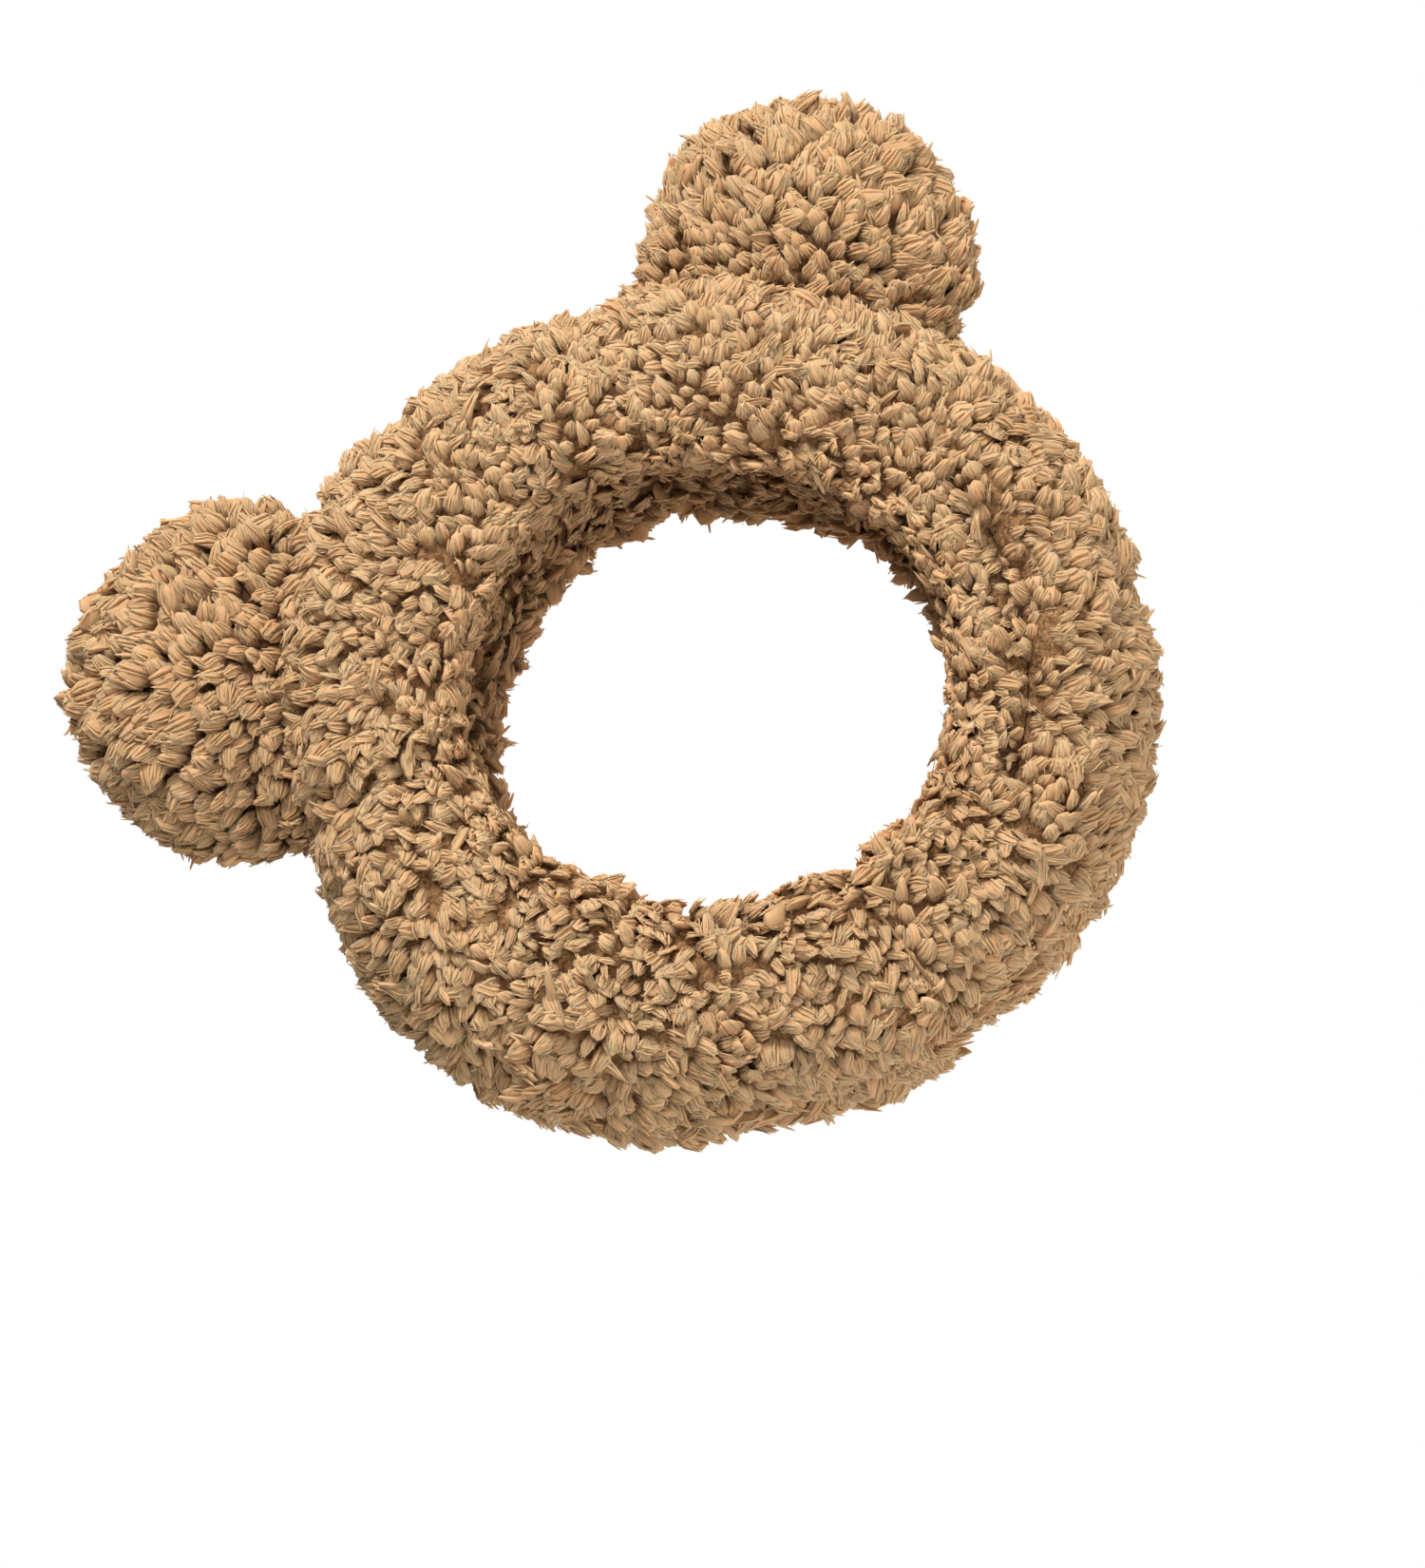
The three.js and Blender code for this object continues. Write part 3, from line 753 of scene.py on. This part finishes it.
# Nap = forward nap (1 - 2 parted toFront) + around (round + parting at the nape), strayed beside the
# seams; a lock's scale is less by ny^2, by the wall's exp(-y^4) and where its root could not sink.
def buildRingPile(panel):
    plan, style, lay = panels[panel], pileStyles["band"], layingSpec
    angle, along = scatterOnRing(plan["from"], plan["to"], style["pitch"], plan["seed"])
    jitter = np.random.default_rng(plan["seed"] + 1).normal(0, lay["rootSpread"], len(angle))
    roots, normals, forward, around, short = ringSurface(angle, along, style["root"] + jitter)
    nape = roundDistance(angle, 180)
    parting = lay["napeParting"] * np.sign(nape) * np.exp(-(nape / lay["napeReach"]) ** 2)
    parted = np.exp(-(roundDistance(angle, grooveSpec["place"]) / lay["partedReach"]) ** 2)
    toFront = np.exp(-(along - section["length"]) ** 2 / lay["partedAcross"] ** 2)
    nap = (forward * (plan["nap"] * (1 - 2 * parted * toFront))[:, None]
           + around * (plan["round"] + parting)[:, None])
    atSeam = np.exp(-(seamDistance(along) / lay["seamReach"]) ** 2)
    turns = np.random.default_rng(plan["seed"] + 2).normal(size=len(angle))
    stray = lay["stray"] * atSeam * (1 - parted) * turns
    across = np.cross(normals, nap)
    nap = nap * np.cos(stray)[:, None] + across * np.sin(stray)[:, None]
    wall = np.exp(-(roots[:, 1] / ring["wallReach"]) ** 4) * (panel == "Inner")
    rise = np.interp(along, section["along"], section["rise"]) / ring["halfRadial"]
    # painted shade on the head side's wall: its locks are darkened
    wallShade = np.exp(-(roots[:, 1] / lay["wallShadeReach"]) ** 8) * np.clip(-rise, 0, 1) ** 2
    # painted shade in the parted groove: locks beside the seam there are darkened too
    dim = -lay["wallShadeDim"] * wallShade - lay["grooveShadeDim"] * atSeam * parted
    scale = ((1 - lay["faceShorter"] * normals[:, 1] ** 2) * (1 - lay["wallShorter"] * wall)
             * np.clip(1 - short / style["length"], lay["shortest"], 1))
    bare = (parted > lay["partedLeast"]) & (seamDistance(along) < grooveSpec["bare"])
    kept = ~insideEar(roots, lay["underEar"]) & ~bare
    made = []
    for sector in range(plan["sectors"]):
        width = fullTurn / plan["sectors"]
        mine = kept & (np.mod(angle + width / 2, fullTurn) // width == sector)
        name = "band" + panel + "Pile" + str(sector + 1)
        made.append(growPile(name, roots[mine], normals[mine], nap[mine], lay["seamLift"] * atSeam[mine],
                             scale[mine], dim[mine], style, plan["seed"] + 3 + sector))
    return made


# Half of the section as a closed shell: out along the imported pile, back along the knit. The packed
# side is roughened by fine noise.
def buildRingGround(panel, steps=220, across=34):
    plan = panels[panel]
    there = np.linspace(plan["from"], plan["to"], across)
    along = np.tile(np.concatenate([there, there[::-1]]), steps)
    depth = np.repeat([-ring["groundDepth"], -ring["backingDepth"]], across)
    angle = np.repeat(np.linspace(0, fullTurn, steps, endpoint=False), across * 2)
    height = np.tile(depth, steps)
    points = ringSurface(angle, along, height)[0]
    grain = ring["groundRough"] * softNoise(points, 0.004, 31, 24)
    rough = np.where(height > -ring["backingDepth"], grain, 0)
    points = ringSurface(angle, along, height + rough)[0]
    grid, quads = wrappedGrid(points.reshape(steps, across * 2, 3))
    return closedPiece("band" + panel + "Fleece", grid, quads.tolist(), quads, fleeceGround)


# Rows of rings between two poles: quads between the rows, a fan of triangles at each pole.
def poledMesh(name, rows, first, last, material):
    count, sides = rows.shape[:2]
    quads, side, far = tubeQuads(count, sides), np.arange(sides), (count - 1) * sides
    after, pole = (side + 1) % sides, count * sides
    points = np.concatenate([rows.reshape(-1, 3), [first, last]])
    fanA = np.stack([after, side, np.full(sides, pole)], axis=-1)
    fanB = np.stack([far + side, far + after, np.full(sides, pole + 1)], axis=-1)
    faces = quads.tolist() + fanA.tolist() + fanB.tolist()
    return closedPiece(name, points, faces, quads, material)


# One skin of an ear at a depth under its pile, resting on the ring.
def earSkin(ear, polars, sides, depth, room):
    polar, spin = np.meshgrid(polars, fullTurn * np.arange(sides) / sides, indexing="ij")
    return restOnRing(earSurface(ear, polar, spin, np.full(polar.shape, -depth))[0], ear, room)


# Half of an ear: a bowl from its pole, in degrees, to just short of the edge seam, and back inside.
def buildEarShell(side, face, rows=24, sides=84):
    ear, spec = ears[side], earSpec
    rim, pole = (89.7, 0.0) if face == "Front" else (90.3, 180.0)
    polars = np.radians(np.linspace(pole, rim, rows))
    skin = earSkin(ear, polars, sides, spec["groundDepth"], spec["groundRoom"])
    lining = earSkin(ear, polars, sides, spec["backingDepth"], spec["backingRoom"])
    grid = np.concatenate([skin[1:], lining[1:][::-1]])
    return poledMesh(side + "Ear" + face + "Fleece", grid, skin[0, 0], lining[0, 0], fleeceGround)


# The stuffing fills both halves from pole to pole.
def buildEarStuffing(side, rows=40, sides=72):
    ear, spec = ears[side], earSpec
    polars = np.linspace(0, math.pi, rows)
    skin = earSkin(ear, polars, sides, spec["stuffingDepth"], spec["stuffingRoom"])
    return poledMesh(side + "EarStuffing", skin[1:-1], skin[0, 0], skin[-1, 0], waddingMaterial)


# Arc of thread in the ear's middle plane, with its ends above the ring: radial (R + r cos t) and
# sideways r sin t.
def buildEarSeam(side, steps=90, sides=8):
    ear, spec = ears[side], earSpec
    spin = np.linspace(-1.2, math.pi + 1.2, 2000)
    arc = (np.cos(spin)[:, None] * ear["across"] + np.sin(spin)[:, None] * ear["out"]) * spec["seamRadius"]
    arc = arc + ear["out"] * ear["distance"]
    free = spin[~insideRing(arc, spec["seamRoom"])]
    spin = np.linspace(free[0], free[-1], steps)[:, None, None]
    turn = (fullTurn * np.arange(sides) / sides)[None, :, None]
    radial = np.cos(spin) * ear["across"] + np.sin(spin) * ear["out"]
    middle = ear["out"] * ear["distance"]
    size = spec["threadRadius"]
    rows = (middle + radial * (spec["seamRadius"] + size * np.cos(turn))
            + np.array([0, 1.0, 0]) * size * np.sin(turn))
    centre = rows.mean(axis=1)
    return poledMesh(side + "EarEdgeSeam", rows, centre[0], centre[-1], threadMaterial)


# Staggered rings of places between the poles, a pitch apart along the ellipsoid's own arc.
def scatterOnEar(ear, pitch, seed):
    rng = np.random.default_rng(seed)
    fine = np.linspace(0, math.pi, 600)
    outwards, deep = ear["radius"] * np.sin(fine), ear["halfDepth"] * np.cos(fine)
    arc = np.cumsum(np.hypot(np.gradient(outwards), np.gradient(deep)))
    rows = round(arc[-1] / pitch)
    polars, spins = [], []
    for row in range(rows):
        polar = np.interp(arc[-1] * (row + 0.5) / rows, arc, fine)
        places = max(3, round(fullTurn * ear["radius"] * math.sin(polar) / pitch))
        jitter = rng.uniform(-rootJitter, rootJitter, (2, places))
        spins.append(fullTurn * (np.arange(places) + 0.5 * (row % 2) + jitter[0]) / places)
        polars.append(polar + pitch / ear["radius"] * jitter[1])
    return np.clip(np.concatenate(polars), 0.01, math.pi - 0.01), np.concatenate(spins)


earPileSpec = {"rootSpread": 0.0005, "lowReach": 0.014, "lowShorter": 0.22, "lowShade": 0.35,
               "upwards": 0.9, "outwards": 0.8, "intoRing": -0.0050}


# Nap = out upwards + fan outwards, from the base to the tip and away from the ear's middle; shorter
# and darker by exp(-(height over the ring)^2), the darkening painted shade where the ear meets the ring.
def buildEarPile(side):
    ear, style, spec = ears[side], pileStyles["ear"], earPileSpec
    polar, spin = scatterOnEar(ear, style["pitch"], ear["seed"])
    jitter = np.random.default_rng(ear["seed"] + 1).normal(0, spec["rootSpread"], len(polar))
    roots, normals = earSurface(ear, polar, spin, style["root"] + ear["plump"] + jitter)
    local = earLocal(ear, roots)
    fan = (local[:, [0]] * ear["across"] + local[:, [2]] * ear["out"]) / ear["radius"]
    rise = np.hypot(roots[:, 0], roots[:, 2]) - ring["outerRadius"]
    low = np.exp(-(np.maximum(rise, 0) / spec["lowReach"]) ** 2)
    scale = 1 - spec["lowShorter"] * low
    nap = ear["out"] * spec["upwards"] + fan * spec["outwards"]
    kept = ~insideRing(roots, spec["intoRing"])
    made = []
    for face, half in (("Front", polar < math.pi / 2), ("Back", polar >= math.pi / 2)):
        mine = kept & half
        made.append(growPile(side + "Ear" + face + "Pile", roots[mine], normals[mine], nap[mine],
                             np.zeros(mine.sum()), scale[mine], -spec["lowShade"] * low[mine], style,
                             ear["seed"] + 3))
    return made


print("shapes ready: section", round(section["length"] * 1000), "mm round")

floorSpec = {"drop": 0.45, "half": 12.0}


# A wide pale floor well under the ring.
def buildStage():
    low = cadBox[0][2] - floorSpec["drop"]
    half = floorSpec["half"]
    mesh = bpy.data.meshes.new("floor")
    mesh.from_pydata([(-half, -half, low), (half, -half, low), (half, half, low), (-half, half, low)],
                     [], [(0, 1, 2, 3)])
    floor = bpy.data.objects.new("floor", mesh)
    scene.collection.objects.link(floor)
    material, nodes, links, shader = newMaterial("paleFloor")
    shader.inputs["Base Color"].default_value = (0.86, 0.86, 0.85, 1)
    shader.inputs["Roughness"].default_value = 0.9
    mesh.materials.append(material)


# place: where the lamp stands from the ring's centre; it always faces the centre
lampSpecs = {
    "key": {"place": (0.51, -1.45, 1.63), "size": 0.8, "power": 62},
    "front": {"place": (0.3, -2.7, 0.6), "size": 1.2, "power": 30},
    "rear": {"place": (0.6, 2.1, 1.3), "size": 1.4, "power": 58},
}


# Soft round lamps, and a white surround that lights the piece only a little.
def buildLights():
    for name, spec in lampSpecs.items():
        lamp = bpy.data.lights.new(name, "AREA")
        lamp.shape, lamp.size, lamp.energy = "DISK", spec["size"], spec["power"]
        holder = bpy.data.objects.new(name, lamp)
        holder.location = spec["place"]
        holder.rotation_euler = (-Vector(spec["place"])).to_track_quat("-Z", "Y").to_euler()
        scene.collection.objects.link(holder)
    world = bpy.data.worlds.new("studio")
    scene.world = world
    world.use_nodes = True
    nodes, links = world.node_tree.nodes, world.node_tree.links
    background = nodes["Background"]
    background.inputs["Color"].default_value = (1, 1, 1, 1)
    background.inputs["Strength"].default_value = 0.10
    seen = addNode(nodes, "ShaderNodeBackground", Color=(1, 1, 1, 1), Strength=1.0)
    path = addNode(nodes, "ShaderNodeLightPath")
    mix = addNode(nodes, "ShaderNodeMixShader")
    links.new(path.outputs["Is Camera Ray"], mix.inputs["Fac"])
    links.new(background.outputs["Background"], mix.inputs[1])
    links.new(seen.outputs["Background"], mix.inputs[2])
    links.new(mix.outputs["Shader"], nodes["World Output"].inputs["Surface"])


cameraSpec = {
    "azimuth": -2.2, "elevation": -10.3,  # round the ring's own axis, in degrees
    "roll": 37.5,  # the crown leans this far to the left in the view
    "distance": 2.3, "frameHeight": 0.4125,  # what the long side of the view spans at the ring
    "shiftUp": 0.0203,  # of the ring's centre from the middle of the view
}


# The camera stands back along (sin a cos e, -cos a cos e, sin e) and is rolled about that line.
def buildCamera():
    spec = cameraSpec
    a, e, r = (math.radians(spec[k]) for k in ("azimuth", "elevation", "roll"))
    back = Vector((math.sin(a) * math.cos(e), -math.cos(a) * math.cos(e), math.sin(e)))
    right = Vector((math.cos(a), math.sin(a), 0))
    up = back.cross(right)
    rolledUp = up * math.cos(r) + right * math.sin(r)
    rolledRight = rolledUp.cross(back)
    data = bpy.data.cameras.new("camera")
    data.sensor_width = 36
    data.lens = 36 * spec["distance"] / spec["frameHeight"]
    camera = bpy.data.objects.new("camera", data)
    camera.location = back * spec["distance"] - rolledUp * spec["shiftUp"]
    basis = np.array([rolledRight, rolledUp, back]).T
    matrix = np.eye(4)
    matrix[:3, :3] = basis
    camera.rotation_mode = "QUATERNION"
    camera.rotation_quaternion = Matrix(matrix.tolist()).to_quaternion()
    scene.collection.objects.link(camera)
    scene.camera = camera


buildStage()
buildLights()
buildCamera()
scene.view_settings.view_transform = "Standard"
print("stage, lamps and camera set")

for panel, plan in panels.items():
    cloth = buildRingGround(panel)
    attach(cloth, "root")
    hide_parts(plan["node"])
    for pile in buildRingPile(panel):
        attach(pile, "root")
print("ring covered")


# A piece of an ear keeps its place, baked into its mesh.
def bendWithEar(piece):
    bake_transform(piece)


for side in ears:
    for face in ("Front", "Back"):
        cloth = buildEarShell(side, face)
        bendWithEar(cloth)
        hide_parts(side + "_ear_" + face.lower() + "_fleece")
    for pile in buildEarPile(side):
        bendWithEar(pile)
    stuffing = buildEarStuffing(side)
    bendWithEar(stuffing)
    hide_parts(side + "_ear_stuffing")
    seam = buildEarSeam(side)
    bendWithEar(seam)
    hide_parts(side + "_ear_edge_seam")
print("ears covered")

hiddenParts = {
    "band_wadding": waddingMaterial, "band_elastic": elasticMaterial,
    "band_front_seam": threadMaterial, "band_rear_seam": threadMaterial,
    "band_nape_seam": threadMaterial, "left_ear_base_stitching": threadMaterial,
    "right_ear_base_stitching": threadMaterial,
}
for name, material in hiddenParts.items():
    node = scene.objects[name]
    node.data.materials.clear()
    node.data.materials.append(material)

triangles = sum(len(p.vertices) - 2 for o in scene.objects if o.type == "MESH" for p in o.data.polygons)
print("triangles:", triangles)
